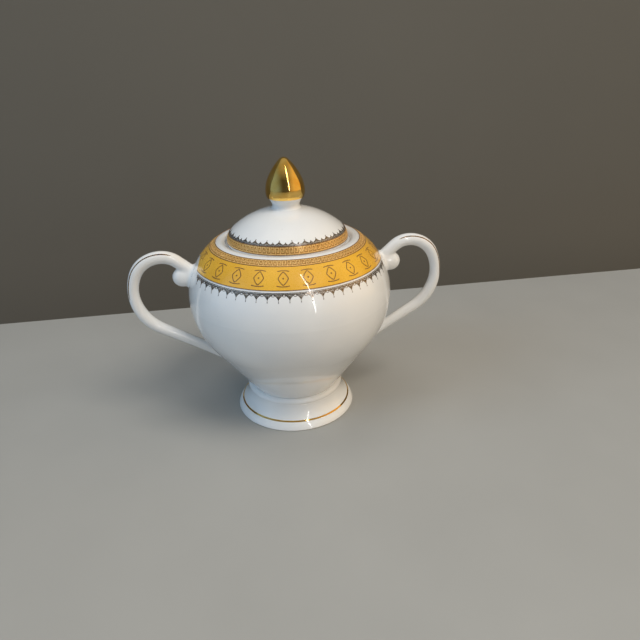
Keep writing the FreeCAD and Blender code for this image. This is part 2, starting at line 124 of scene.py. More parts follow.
# handles: the strap's centre line is three arcs with a straight root and tail, as in the CAD part
HANDLE_REACH = 79.7
HANDLE_REACH_HEIGHT = 72.1
HANDLE_OUTER_ARC = 23.6
HANDLE_CROWN_ARC = 14.8
HANDLE_TOP = 90.8
HANDLE_ROOT_ARC = 12.0
HANDLE_ROOT_ANGLE = 40.5
HANDLE_ROOT_RUN = 14.0
HANDLE_TAIL_ANGLE = 31.0
HANDLE_TAIL_RUN = 45.0
STRAP_HALF = 2.95           # half the strap's thickness, and how it swells along its height
STRAP_SWELL = 0.2
STRAP_RISE = 0.1            # gain from one thick place to the next
FULL_HEIGHT = 58.0          # where the strap is thickest, and the height from there to the next such place
SWELL_PITCH = 33.0
SCROLL_X = 54.5             # the ball under the root: its middle, radius and half width
SCROLL_HEIGHT = 79.7
SCROLL_RADIUS = 5.0
SCROLL_HALF = 4.1
SCROLL_FILLET = 1.2
ROOT_FILLET = 2.0
ROOT_DEPTH = 0.4            # how far a handle reaches under the face of the bowl
HANDLE_STEP = 0.5           # size of the faces on a handle
FILLET_END = 0.98           # share of the root's fillet that is kept
LOWER_ARC_FALL = 20.0       # how far the wall's lower arc surely runs below the widest line
WIDEST_CLEAR = 0.1          # how far below that line it is surely the lower arc
CONE_LEAN = radians(35.0)   # lean of the straight wall below that arc, from the vertical
FACING_OUT = 0.3            # least outward lean of a face that belongs to a piece's outside
GILD_START = 0.42           # radians round the root arc where a gilded line starts
GILD_END = -0.08            # and round the outer arc where it ends
GILD_FLANK = pi / 4         # how far round the strap's section it runs, from the crest
GILD_WIDTH = 0.6
GILD_LIFT = 0.06
GILD_TAPER = 1 / 9          # share of its length in which it widens, and its width at the very ends
GILD_BLUNT = 0.12

LIT_HEIGHT = 70             # height on the bowl's axis of the place that every light looks at

# the room's light: its dim colour, and each tint with the axis and the part of it that it fills
ROOM_DARK = (0.07, 0.07, 0.068)
ROOM_TINTS = (("X", 0.10, 0.90, (0.80, 0.54, 0.24)), ("X", -0.25, -0.95, (0.25, 0.34, 0.45)),
              ("Z", 0.60, 0.98, (0.40, 0.38, 0.35)))


# ---------------------------------------------------------------- reading the frame

def node_points(node):
    """The vertices of a CAD node, in millimetres."""
    mesh = frame["nodes"][node].data
    flat = np.empty(len(mesh.vertices) * 3, np.float32)
    mesh.vertices.foreach_get("co", flat)
    return flat.reshape(-1, 3).astype(float) / MM


def profile(points):
    """Radius and height of points."""
    return np.stack([np.hypot(points[:, 0], points[:, 1]), points[:, 2]], 1)


class ProfileArc:
    """The round stretch of a turned piece's outside between two heights, seen in profile."""

    def __init__(self, node, low, high):
        points = node_points(node)
        outward = np.array([vertex.normal.to_tuple() for vertex in frame["nodes"][node].data.vertices])
        reach = np.maximum(np.hypot(points[:, 0], points[:, 1]), TINY)
        facing = (points[:, :2] * outward[:, :2]).sum(1) / reach > FACING_OUT
        points = profile(points[facing & (points[:, 2] > low) & (points[:, 2] < high)])
        system = np.column_stack([2 * points, np.ones(len(points))])
        answer = np.linalg.lstsq(system, (points ** 2).sum(1), rcond=None)[0]
        self.middle, self.height = answer[:2]
        self.radius = np.sqrt(answer[2] + self.middle ** 2 + self.height ** 2)

    def distance(self, radius, height):
        return np.hypot(radius - self.middle, height - self.height) - self.radius


class Band:
    """A printed band on a turned face.  A place on it is (azimuth, down): degrees round from the
    front towards the right, and millimetres down the face from the band's upper edge."""

    def __init__(self, node, arc):
        points = profile(node_points(node))
        angles = np.arctan2(points[:, 1] - arc.height, points[:, 0] - arc.middle)
        self.arc = arc
        self.high = angles.max()
        self.skin = arc.distance(points[:, 0], points[:, 1]).max()
        self.width = (self.high - angles.min()) * arc.radius
        self.mean_radius = arc.middle + arc.radius * cos((self.high + angles.min()) / 2)

    def point(self, azimuth, down, lift):
        """A place on the band, lifted off the glaze under it."""
        angle = self.high - down / self.arc.radius
        distance = self.arc.radius + lift
        reach = self.arc.middle + distance * cos(angle)
        turn = radians(azimuth)
        return (reach * sin(turn), -reach * cos(turn), self.arc.height + distance * sin(angle))

    def degrees(self, run):
        """The turn in degrees that a run round the middle of the band makes."""
        return run / self.mean_radius * 180 / pi


# ---------------------------------------------------------------- materials

def blend_colours(tree, factor, first, second):
    """Colour between first and second; either is a colour or the output of a node."""
    node = tree.nodes.new("ShaderNodeMix")
    node.data_type = "RGBA"
    tree.links.new(factor, node.inputs["Factor"])
    for value, letter in ((first, "A"), (second, "B")):
        socket = next(s for s in node.inputs if s.name == letter and s.type == "RGBA")
        if isinstance(value, tuple):
            socket.default_value = (*value, 1.0)
        else:
            tree.links.new(value, socket)
    return next(s for s in node.outputs if s.type == "RGBA")


class Shader:
    """A Principled material, and the few nodes that its patterns need."""

    def __init__(self, name, colour, roughness, metallic=0.0, coat=0.0, coat_roughness=0.03):
        self.material = bpy.data.materials.new(name)
        self.material.use_nodes = True
        self.tree = self.material.node_tree
        self.shader = self.tree.nodes["Principled BSDF"]
        self.set("Base Color", (*colour, 1.0))
        self.set("Roughness", roughness)
        self.set("Metallic", metallic)
        self.set("Coat Weight", coat)
        self.set("Coat Roughness", coat_roughness)
        self.place = self.tree.nodes.new("ShaderNodeTexCoord").outputs["Object"]

    def set(self, socket, value):
        self.shader.inputs[socket].default_value = value

    def link(self, source, target):
        self.tree.links.new(source, target)

    def noise(self, size, detail=2.0, stretch=None):
        """Noise whose features are about size millimetres across, from 0 to 1."""
        node = self.tree.nodes.new("ShaderNodeTexNoise")
        node.inputs["Scale"].default_value = 1 / (size * MM)
        node.inputs["Detail"].default_value = detail
        source = self.place
        if stretch:
            mapping = self.tree.nodes.new("ShaderNodeMapping")
            mapping.inputs["Scale"].default_value = stretch
            self.link(source, mapping.inputs["Vector"])
            source = mapping.outputs["Vector"]
        self.link(source, node.inputs["Vector"])
        return node.outputs["Fac"]

    def cells(self, size):
        """Distance to the nearest of scattered points about size millimetres apart."""
        node = self.tree.nodes.new("ShaderNodeTexVoronoi")
        node.inputs["Scale"].default_value = 1 / (size * MM)
        self.link(self.place, node.inputs["Vector"])
        return node.outputs["Distance"]

    def spread(self, source, low, high, to_low=0.0, to_high=1.0):
        """Maps low..high of source to to_low..to_high, and stays within them."""
        node = self.tree.nodes.new("ShaderNodeMapRange")
        node.inputs["From Min"].default_value = low
        node.inputs["From Max"].default_value = high
        node.inputs["To Min"].default_value = to_low
        node.inputs["To Max"].default_value = to_high
        self.link(source, node.inputs["Value"])
        return node.outputs["Result"]

    def sum(self, first, second):
        node = self.tree.nodes.new("ShaderNodeMath")
        node.operation = "ADD"
        self.link(first, node.inputs[0])
        self.link(second, node.inputs[1])
        return node.outputs["Value"]

    def blend(self, factor, first, second):
        return blend_colours(self.tree, factor, first, second)

    def paint(self, colour):
        self.link(colour, self.shader.inputs["Base Color"])

    def roughen(self, source, low, high):
        self.link(self.spread(source, 0.3, 0.7, low, high), self.shader.inputs["Roughness"])

    def bump(self, height, depth):
        """Relief of depth millimetres where height runs from 0 to 1."""
        node = self.tree.nodes.new("ShaderNodeBump")
        node.inputs["Strength"].default_value = 1.0
        node.inputs["Distance"].default_value = depth * MM
        self.link(height, node.inputs["Height"])
        self.link(node.outputs["Normal"], self.shader.inputs["Normal"])

    def part(self, axis):
        """One coordinate of the place on the object, in metres."""
        node = self.tree.nodes.new("ShaderNodeSeparateXYZ")
        self.link(self.place, node.inputs["Vector"])
        return node.outputs[axis]


def porcelain():
    """White hard-paste body under a clear glaze: faint clouding, pin specks, a slow ripple."""
    glaze = Shader("porcelain_glaze", (0.83, 0.83, 0.82), 0.28, coat=1.0, coat_roughness=0.025)
    cloud = glaze.spread(glaze.noise(26, 3.0), 0.35, 0.68)
    body = glaze.blend(cloud, (0.81, 0.815, 0.815), (0.86, 0.855, 0.84))
    specks = glaze.spread(glaze.cells(7.0), 0.012, 0.020)
    marked = glaze.blend(specks, (0.45, 0.40, 0.34), body)
    bisque = glaze.spread(glaze.part("Z"), 0.0003, 0.0007)
    glaze.paint(glaze.blend(bisque, (0.74, 0.70, 0.62), marked))
    glaze.link(glaze.spread(bisque, 0.0, 1.0, 0.85, 0.26), glaze.shader.inputs["Roughness"])
    ripple = glaze.sum(glaze.noise(9.0, 1.0), glaze.noise(34.0, 1.0))
    glaze.bump(ripple, 0.035)
    return glaze.material


def gold_lustre():
    """Fired bright gold: nearly a mirror, a little redder and duller in patches."""
    gold = Shader("gold_lustre", (0.93, 0.60, 0.15), 0.10, metallic=1.0)
    tone = gold.spread(gold.noise(5.0, 3.0), 0.35, 0.65)
    gold.paint(gold.blend(tone, (0.90, 0.54, 0.11), (0.97, 0.67, 0.20)))
    gold.roughen(gold.noise(1.6, 4.0, stretch=(1.0, 1.0, 4.0)), 0.045, 0.15)
    gold.bump(gold.noise(3.0, 2.0), 0.010)
    return gold.material


def yellow_enamel():
    """Golden-yellow ground printed as a fine grain of dots, under the glaze."""
    enamel = Shader("yellow_enamel", (0.78, 0.44, 0.035), 0.30, coat=1.0, coat_roughness=0.05)
    tone = enamel.spread(enamel.noise(14.0, 2.0), 0.35, 0.65)
    ground = enamel.blend(tone, (0.78, 0.41, 0.035), (0.88, 0.49, 0.045))
    grain = enamel.spread(enamel.noise(0.32, 2.0), 0.46, 0.66)
    enamel.paint(enamel.blend(grain, ground, (0.78, 0.42, 0.03)))
    enamel.roughen(enamel.noise(0.5, 2.0), 0.22, 0.40)
    enamel.bump(enamel.noise(0.32, 2.0), 0.006)
    return enamel.material


def key_ground():
    """Amber and bronze lustre under the fret."""
    ground = Shader("key_transfer", (0.45, 0.24, 0.07), 0.38, metallic=0.25, coat=0.5)
    tone = ground.spread(ground.noise(6.0, 3.0), 0.35, 0.65)
    amber = ground.blend(tone, (0.42, 0.18, 0.028), (0.54, 0.25, 0.042))
    grain = ground.spread(ground.noise(0.28, 2.0), 0.52, 0.70)
    ground.paint(ground.blend(grain, amber, (0.36, 0.18, 0.045)))
    ground.roughen(ground.noise(0.7, 3.0), 0.30, 0.48)
    ground.bump(ground.noise(0.28, 2.0), 0.006)
    return ground.material


def key_gold():
    """The light gold of the fret's own strokes, worn thin here and there."""
    gold = Shader("key_gold", (1.0, 0.76, 0.36), 0.30, metallic=0.35)
    blotches = gold.spread(gold.noise(0.9, 3.0), 0.46, 0.74)
    gold.paint(gold.blend(blotches, (1.0, 0.68, 0.27), (0.76, 0.44, 0.14)))
    gold.roughen(gold.noise(0.6, 2.0), 0.22, 0.40)
    return gold.material


def brown_line():
    """Dark bronze-brown of the rules and the motif, with the gold showing through."""
    line = Shader("brown_line", (0.22, 0.10, 0.035), 0.34, metallic=0.25, coat=0.6)
    tone = line.spread(line.noise(0.8, 3.0), 0.40, 0.72)
    line.paint(line.blend(tone, (0.19, 0.085, 0.03), (0.42, 0.22, 0.07)))
    line.roughen(line.noise(0.6, 2.0), 0.24, 0.42)
    return line.material


def gilding_painted_dark_reflection():
    """Thin gilding on the handles, coloured dark bronze as a painted reflection of dark surroundings on
    the gold, with random lighter patches from noise.
    """
    gold = Shader("gilding_painted_dark_reflection", (0.26, 0.16, 0.08), 0.26, metallic=0.9)
    blotches = gold.spread(gold.noise(1.2, 3.0), 0.42, 0.70)
    # painted reflection: both dark bronze colours stand in for the gold line mirroring dark surroundings;
    # the noise only mixes them at random
    gold.paint(gold.blend(blotches, (0.20, 0.125, 0.075), (0.52, 0.33, 0.12)))
    gold.roughen(gold.noise(0.8, 3.0), 0.18, 0.36)
    return gold.material


def lace_metal():
    """Grey and bronze lustre of the lace."""
    lace = Shader("lace_transfer", (0.34, 0.29, 0.24), 0.24, metallic=0.9)
    tone = lace.spread(lace.noise(4.0, 3.0), 0.35, 0.65)
    metal = lace.blend(tone, (0.26, 0.24, 0.225), (0.42, 0.33, 0.24))
    grain = lace.spread(lace.noise(0.35, 2.0), 0.50, 0.68)
    lace.paint(lace.blend(grain, metal, (0.15, 0.125, 0.105)))
    lace.roughen(lace.noise(0.5, 2.0), 0.18, 0.34)
    return lace.material


def plain_stage(name, colour, roughness, mottle):
    """A plain surface for the floor or the wall, with a faint unevenness."""
    stage = Shader(name, colour, roughness)
    tone = stage.spread(stage.noise(mottle, 4.0), 0.3, 0.7)
    darker = tuple(0.95 * part for part in colour)
    stage.paint(stage.blend(tone, darker, colour))
    return stage.material


# ---------------------------------------------------------------- meshes

def make_piece(name, points, faces, material, body):
    """A mesh piece from points in millimetres, riding on a CAD body."""
    mesh = bpy.data.meshes.new(name)
    mesh.from_pydata((np.asarray(points) * MM).tolist(), [], faces)
    mesh.polygons.foreach_set("use_smooth", [True] * len(mesh.polygons))
    mesh.set_sharp_from_angle(angle=radians(CREASE_ANGLE))
    mesh.materials.append(material)
    mesh.update()
    piece = bpy.data.objects.new(name, mesh)
    bpy.context.scene.collection.objects.link(piece)
    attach(piece, body)
    return piece


class Print:
    """Strokes and patches laid on a band as thin closed skins, standing on the band's own skin or,
    where ground is 0, on the bare glaze."""

    def __init__(self, band, ground):
        self.band = band
        self.top = ground + STROKE_LIFT
        self.bottom = ground - STROKE_SINK
        self.points = []
        self.faces = []

    def corner(self, azimuth, run, down):
        """The upper one of two points at a place given as a run round the band and a depth."""
        turn = azimuth + self.band.degrees(run)
        first = len(self.points)
        self.points.append(self.band.point(turn, down, self.top))
        self.points.append(self.band.point(turn, down, self.bottom))
        return first

    def stroke(self, azimuth, path, width, closed=False):
        """A stroke along a path of (run, down), in millimetres, starting from an azimuth."""
        path = path if closed else finely_stepped(path)
        left, right = [], []
        for (run, down), (across_run, across_down) in zip(path, mitres(path, closed)):
            for side, reach in ((left, width / 2), (right, -width / 2)):
                side.append(self.corner(azimuth, run + across_run * reach, down + across_down * reach))
        spans = list(zip(range(len(path)), range(1, len(path))))
        if closed:
            spans.append((len(path) - 1, 0))
        else:
            self.faces.append((left[0], right[0], right[0] + 1, left[0] + 1))
            self.faces.append((right[-1], left[-1], left[-1] + 1, right[-1] + 1))
        for here, there in spans:
            a, b, c, d = left[here], right[here], right[there], left[there]
            self.faces.append((a, d, c, b))
            self.faces.append((a + 1, b + 1, c + 1, d + 1))
            self.faces.append((a, a + 1, d + 1, d))
            self.faces.append((b, c, c + 1, b + 1))

    def bead(self, azimuth, run, down, radius, sides=10):
        """A round dot."""
        turns = [2 * pi * k / sides for k in range(sides)]
        ring = [self.corner(azimuth, run + radius * cos(t), down + radius * sin(t)) for t in turns]
        self.faces.append(tuple(reversed(ring)))
        self.faces.append(tuple(first + 1 for first in ring))
        for here, there in zip(ring, ring[1:] + ring[:1]):
            self.faces.append((here, there, there + 1, here + 1))

    def rule(self, down, width, start=-180.0, end=180.0):
        """A line round the band at one depth, whole or from one azimuth to another."""
        closed = end - start >= 360
        arc = (end - start) / self.band.degrees(1.0)
        count = ceil(arc / STROKE_STEP)
        stops = count if closed else count + 1
        self.stroke(start, [(arc * k / count, down) for k in range(stops)], width, closed)

    def make(self, name, material, body):
        return make_piece(name, self.points, self.faces, material, body)


def finely_stepped(path):
    """The path with its long straight pieces divided, so that it follows a curved face."""
    stepped = [path[0]]
    for (run, down), (next_run, next_down) in zip(path, path[1:]):
        count = max(1, ceil(hypot(next_run - run, next_down - down) / STROKE_STEP))
        for share in (k / count for k in range(1, count + 1)):
            stepped.append((run + (next_run - run) * share, down + (next_down - down) * share))
    return stepped


def mitres(path, closed):
    """For each place of a path, the way across it that keeps the stroke's width at corners."""
    if closed:
        return [(0.0, 1.0)] * len(path)
    steps = np.diff(np.array(path, float), axis=0)
    steps /= np.linalg.norm(steps, axis=1)[:, None]
    across = np.stack([-steps[:, 1], steps[:, 0]], 1)
    before = np.vstack([across[:1], across])
    after = np.vstack([across, across[-1:]])
    agreement = 1 + (before * after).sum(1)
    return ((before + after) / np.maximum(agreement, SHARPEST_MITRE)[:, None]).tolist()


def curve(start, bend, end, count=6):
    """Points along a smooth curve that leaves start and reaches end heading through bend."""
    return [tuple((1 - t) ** 2 * a + 2 * t * (1 - t) * b + t * t * c
                  for a, b, c in zip(start, bend, end))
            for t in (k / count for k in range(count + 1))]


# ---------------------------------------------------------------- printed bands

def key_band(band, name, units, body, gold, brown):
    """Greek key between rules: one hooked stroke a unit, standing on a line that joins them."""
    fret = Print(band, band.skin)
    grid = 2 * pi * band.mean_radius / units / KEY_GRID
    foot = band.width - KEY_MARGIN
    rise = (foot - KEY_MARGIN) / KEY_HOOK[1][1]
    for unit in range(units):
        hook = [(x * grid, foot - y * rise) for x, y in KEY_HOOK]
        fret.stroke(unit * 360 / units, hook, KEY_STROKE)
    fret.rule(foot, KEY_STROKE)
    fret.make(f"{name}_fret", gold, body)
    rules = Print(band, band.skin)
    for down in (RULE_WIDTH / 2, band.width - RULE_WIDTH / 2):
        rules.rule(down, RULE_WIDTH)
    rules.make(f"{name}_rules", brown, body)


def left_bare(band, azimuth, run, down):
    """Whether a place lies in the arch left bare round the root of a handle."""
    _, across, height = band.point(azimuth + band.degrees(run), down, 0)
    return hypot(across, height - BARE_HEIGHT) < BARE_RADIUS


def lozenge(motifs, azimuth, middle):
    """An upright lozenge with a bead in it, between two short bars that curl at their ends."""
    strokes = []
    for side in (-1, 1):
        for end in (-1, 1):
            tip = (0, middle + end * LOZENGE_TALL)
            flank = (side * LOZENGE_WIDE, middle)
            bend = (flank[0] * LOZENGE_BULGE, middle + end * LOZENGE_TALL * LOZENGE_BULGE)
            strokes.append(curve(tip, bend, flank))
            bar_down = tip[1] + end * BAR_GAP
            tail = (side * BAR_REACH, bar_down - end * BAR_CURL)
            strokes.append(curve((0, bar_down), (tail[0] * BAR_BEND, bar_down), tail))
    for path in strokes:
        if not any(left_bare(motifs.band, azimuth, *place) for place in path):
            motifs.stroke(azimuth, path, MOTIF_STROKE)
    motifs.bead(azimuth, 0, middle, MOTIF_BEAD)


def motif_row(band, name, facing, body, brown):
    """The row of motifs on half of the enamel, and the rule along the enamel's lower edge."""
    motifs = Print(band, band.skin)
    for number in range(MOTIF_COUNT):
        azimuth = MOTIF_OFFSET + number * MOTIF_PITCH
        if abs((azimuth - facing + 180) % 360 - 180) < MOTIF_LIMIT:
            lozenge(motifs, azimuth, band.width / 2)
    motifs.rule(band.width - RULE_WIDTH / 2, RULE_WIDTH, facing - RULE_SWEEP, facing + RULE_SWEEP)
    motifs.make(name, brown, body)


def lace_point(lace, azimuth, foot, tip, half, drop):
    """A point of the lace: nested chevrons on the strip, then a stem with a bead at its end."""
    depth = tip - foot
    for share, width in LACE_CHEVRONS:
        for side in (-1, 1):
            corner = side * half * share
            nose = foot + depth * (LACE_BLUNT + (1 - LACE_BLUNT) * share)
            shape = curve((corner, foot), (corner * LACE_WAIST, foot + depth * LACE_WAIST), (0, nose))
            lace.stroke(azimuth, shape, width)
    lace.stroke(azimuth, [(0, foot), (0, tip + drop)], LACE_STEM)
    lace.bead(azimuth, 0, tip + drop, LACE_BEAD)


def bowl_lace(band, name, node, facing, body, metal):
    """Lace under half of the enamel: a dark line and a strip, then hanging points and scallops."""
    lace = Print(band, 0)
    for down, width in ((LACE_LINE, LACE_LINE_WIDTH), (LACE_STRIP, LACE_STRIP_WIDTH)):
        lace.rule(down, width, facing - LACE_SWEEP, facing + LACE_SWEEP)
    half = LACE_PITCH / 2 / band.degrees(1.0)
    for number in range(LACE_POINTS):
        azimuth = facing + (number - (LACE_POINTS - 1) / 2) * LACE_PITCH
        lace_point(lace, azimuth, LACE_FOOT, LACE_TIP, half * LACE_FULLNESS, LACE_DROP)
        for side in (-1, 1):
            side_foot = (side * (half - LACE_SCALLOP), LACE_FOOT)
            shoulder = (side * (half - SCALLOP_BEND), SCALLOP_SHOULDER)
            lace.stroke(azimuth, curve(side_foot, shoulder, (side * half, SCALLOP_CROWN)), SCALLOP_STROKE)
    piece = lace.make(name, metal, body)
    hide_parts(node)


def lid_lace(band, name, node, body, metal):
    """The same lace standing up from the lid's key band, with a low point between two tall ones."""
    lace = Print(band, 0)
    lace.rule(band.width - LID_STRIP, LID_STRIP_WIDTH)
    lace.rule(band.width - LID_LINE, LID_LINE_WIDTH)
    pitch = 360 / LID_PEAKS
    half = pitch / 2 / band.degrees(1.0)
    foot = band.width - LID_FOOT
    for number in range(LID_PEAKS):
        for turn, (rise, share, stem) in ((number, LID_TALL), (number + 0.5, LID_LOW)):
            azimuth = LID_PEAK_OFFSET + turn * pitch
            lace_point(lace, azimuth, foot, foot - rise, half * share, -stem)
    piece = lace.make(name, metal, body)
    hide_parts(node)


def make_bands(fret_gold, brown, metal):
    """All the prints, on the shoulder of the bowl and on the edge of the lid."""
    shoulder = Outside.shoulder
    lid_edge = ProfileArc("lid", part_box("lid_key_band")[0].z / MM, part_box("lid_lace_border")[1].z / MM)
    key_band(Band("key_band", shoulder), "bowl_key", KEY_UNITS_BOWL, "bowl", fret_gold, brown)
    key_band(Band("lid_key_band", lid_edge), "lid_key", KEY_UNITS_LID, "lid_assembly", fret_gold, brown)
    for half, facing in (("front", 0), ("back", 180)):
        motif_row(Band(f"enamel_band_{half}", shoulder), f"enamel_motifs_{half}", facing, "bowl", brown)
        node = f"lace_border_{half}"
        bowl_lace(Band(node, shoulder), f"bowl_lace_{half}", node, facing, "bowl", metal)
    lid_lace(Band("lid_lace_border", lid_edge), "lid_lace", "lid_lace_border", "lid_assembly", metal)


# ---------------------------------------------------------------- handles

class Outside:
    """The bowl's wall: round above and below its widest line, and straight further down."""
    shoulder = ProfileArc("bowl_body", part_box("lace_border_front")[0].z / MM,
                          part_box("key_band")[1].z / MM)
    lower = ProfileArc("bowl_body", shoulder.height - LOWER_ARC_FALL,
                       shoulder.height - WIDEST_CLEAR)

    @classmethod
    def distance(cls, points):
        radius, height = profile(points).T
        out, down = radius - cls.lower.middle, cls.lower.height - height
        cone = out * cos(CONE_LEAN) + down * sin(CONE_LEAN) - cls.lower.radius
        below = down * cos(CONE_LEAN) > out * sin(CONE_LEAN)
        lower = np.where(below, cone, cls.lower.distance(radius, height))
        return np.where(height > cls.shoulder.height, cls.shoulder.distance(radius, height), lower)


def smooth_least(first, second, reach):
    """The smaller of two distances, rounded over where they meet."""
    near = np.maximum(reach - np.abs(first - second), 0) / reach
    return np.minimum(first, second) - near * near * reach / 4


class HandleForm:
    """The right-hand handle as a distance to its surface, blended into the wall of the bowl."""

    def __init__(self):
        outer_x = HANDLE_REACH - HANDLE_OUTER_ARC
        crown_height = HANDLE_TOP - HANDLE_CROWN_ARC
        rise = crown_height - HANDLE_REACH_HEIGHT
        run = sqrt((HANDLE_OUTER_ARC - HANDLE_CROWN_ARC) ** 2 - rise ** 2)
        turn = atan2(rise, run)
        tail = radians(HANDLE_TAIL_ANGLE)
        root = radians(HANDLE_ROOT_ANGLE)
        # each arc of the centre line: its middle, radius, and the angles that it runs between
        self.arcs = [
            ((outer_x, HANDLE_REACH_HEIGHT), HANDLE_OUTER_ARC, tail - pi / 2, turn),
            ((outer_x + run, crown_height), HANDLE_CROWN_ARC, turn, pi / 2),
            ((outer_x + run, HANDLE_TOP - HANDLE_ROOT_ARC), HANDLE_ROOT_ARC, pi / 2, pi / 2 + root),
        ]
        # and each straight end: where it starts, its direction and its length
        root_start = (outer_x + run - HANDLE_ROOT_ARC * sin(root),
                      HANDLE_TOP - HANDLE_ROOT_ARC * (1 - cos(root)))
        tail_start = (outer_x + HANDLE_OUTER_ARC * sin(tail),
                      HANDLE_REACH_HEIGHT - HANDLE_OUTER_ARC * cos(tail))
        self.ends = [(np.array(start), np.array((-cos(slope), -sin(slope))), length)
                     for start, slope, length in ((root_start, root, HANDLE_ROOT_RUN),
                                                  (tail_start, tail, HANDLE_TAIL_RUN))]

    def thickness(self, height):
        """Half the strap's thickness: full over the crown and the lower bend, slimmer between."""
        share = (height - FULL_HEIGHT) / SWELL_PITCH
        return STRAP_HALF + STRAP_SWELL * np.cos(2 * pi * share) + STRAP_RISE * share

    def strap(self, points):
        plane = points[:, [0, 2]]
        nearest = np.full(len(points), np.inf)
        for start, way, length in self.ends:
            offset = plane - start
            along = np.clip(offset @ way, 0, length)
            nearest = np.minimum(nearest, np.linalg.norm(offset - along[:, None] * way, axis=1))
        for middle, radius, low, high in self.arcs:
            offset = plane - middle
            angle = np.clip(np.arctan2(offset[:, 1], offset[:, 0]), low, high)
            on_line = radius * np.stack([np.cos(angle), np.sin(angle)], 1)
            nearest = np.minimum(nearest, np.linalg.norm(offset - on_line, axis=1))
        return np.hypot(nearest, points[:, 1]) - self.thickness(points[:, 2])

    def scroll(self, points):
        """Distance, near enough, to the flattened ball under the root, drawn out into the wall."""
        size = (SCROLL_RADIUS, SCROLL_HALF, SCROLL_RADIUS)
        offset = (points - (SCROLL_X, 0, SCROLL_HEIGHT)) / size
        offset[:, 0] = np.maximum(offset[:, 0], 0)
        length = np.linalg.norm(offset, axis=1)
        return length * (length - 1) / np.maximum(np.linalg.norm(offset / size, axis=1), TINY)

    def field(self, points):
        """The handle alone: cut a little below the face of the bowl, where its fillet runs out."""
        wall = Outside.distance(points)
        strap = smooth_least(self.strap(points), self.scroll(points), SCROLL_FILLET)
        limit = np.maximum(-(wall + ROOT_DEPTH), strap - FILLET_END * ROOT_FILLET)
        return np.maximum(smooth_least(strap, wall, ROOT_FILLET), limit)


def surface_net(field, low, high, step):
    """Closed quad mesh round the places where field is negative, within a box."""
    axes = [np.arange(a, b + step, step) for a, b in zip(low, high)]
    grid = np.stack(np.meshgrid(*axes, indexing="ij"), -1)
    value = field(grid.reshape(-1, 3)).reshape(grid.shape[:3])
    inside = value < 0
    shape = tuple(count - 1 for count in value.shape)
    total = np.zeros((*shape, 3))
    count = np.zeros(shape)
    lower, upper = slice(0, -1), slice(1, None)
    for axis in range(3):
        others = [k for k in range(3) if k != axis]
        for picks in ((lower, lower), (lower, upper), (upper, lower), (upper, upper)):
            start, end = [lower] * 3, [upper] * 3
            for other, pick in zip(others, picks):
                start[other] = end[other] = pick
            start, end = tuple(start), tuple(end)
            crossed = inside[start] != inside[end]
            fall = np.where(crossed, value[start] - value[end], 1)
            share = np.where(crossed, value[start] / fall, 0)
            place = grid[start] + share[..., None] * (grid[end] - grid[start])
            total += place * crossed[..., None]
            count += crossed
    mixed = count > 0
    number = np.full(shape, -1)
    number[mixed] = np.arange(mixed.sum())
    faces = []
    for axis in range(3):
        first, second = [k for k in range(3) if k != axis]
        here = [slice(1, -1)] * 3
        here[axis] = lower
        there = list(here)
        there[axis] = upper
        near, far = inside[tuple(here)], inside[tuple(there)]
        cells = []
        for pick_first, pick_second in ((lower, lower), (upper, lower), (upper, upper), (lower, upper)):
            cell = [slice(0, None)] * 3
            cell[first], cell[second] = pick_first, pick_second
            cells.append(number[tuple(cell)])
        quads = np.stack(cells, -1)
        if axis == 1:
            near, far = far, near
        faces.append(quads[near & ~far])
        faces.append(quads[far & ~near][:, ::-1])
    return total[mixed] / count[mixed][:, None], np.vstack(faces)


def drawn_to(field, points, rounds=4, probe=0.01, reach=0.2, flattest=0.1):
    """Points moved onto the place where field is nought, no further than reach in a round."""
    for _ in range(rounds):
        slope = np.stack([field(points + step) - field(points - step) for step in probe * np.eye(3)], 1)
        slope /= 2 * probe
        move = field(points)[:, None] * slope / np.maximum((slope ** 2).sum(1), flattest)[:, None]
        far = np.linalg.norm(move, axis=1) / reach
        points = points - move / np.maximum(far, 1)[:, None]
    return points


def turned(points, half_turn):
    """Points of the right-hand handle, or of the left-hand one after half a turn."""
    return np.asarray(points) * ((-1, -1, 1) if half_turn else (1, 1, 1))


def gilded_route(form):
    """Centre-line places and outward angles, from just under the outermost point to the root arc."""
    outer, crown, root = form.arcs
    spans = ((outer, GILD_END, outer[3], 10), (crown, crown[2], crown[3], 14),
             (root, root[2], root[2] + GILD_START, 6))
    route = []
    for (middle, radius, _, _), low, high, count in spans:
        for number in range(1 if route else 0, count + 1):
            angle = low + (high - low) * number / count
            route.append((np.add(middle, (radius * cos(angle), radius * sin(angle))), angle))
    return route


def gilded_line(form, name, face, half_turn, gold):
    """A thin raised line along one flank of the crest, drawn out to a point at both ends."""
    route = gilded_route(form)
    points = []
    for number, (place, angle) in enumerate(route):
        share = number / (len(route) - 1)
        taper = min(1.0, sqrt(min(share, 1 - share) / GILD_TAPER) + GILD_BLUNT)
        crest = form.thickness(place[1]) * cos(GILD_FLANK) * sin(angle)
        half = form.thickness(place[1] + crest)
        for lift in (GILD_LIFT, -STROKE_SINK):
            distance = half + lift
            for side in (-1, 0, 1):
                flank = GILD_FLANK + side * GILD_WIDTH / 2 * taper / half
                out = distance * cos(flank)
                points.append((place[0] + out * cos(angle), -face * distance * sin(flank),
                               place[1] + out * sin(angle)))
    faces = []
    loop = (0, 1, 2, 5, 4, 3)
    for number in range(len(route) - 1):
        first = number * 6
        for a, b in zip(loop, loop[1:] + loop[:1]):
            faces.append((first + a, first + b, first + b + 6, first + a + 6))
    last = (len(route) - 1) * 6
    faces.append(tuple(reversed(loop)))
    faces.append(tuple(last + a for a in loop))
    if face < 0:
        faces = [tuple(reversed(quad)) for quad in faces]
    return make_piece(name, turned(points, half_turn), faces, gold, "bowl")


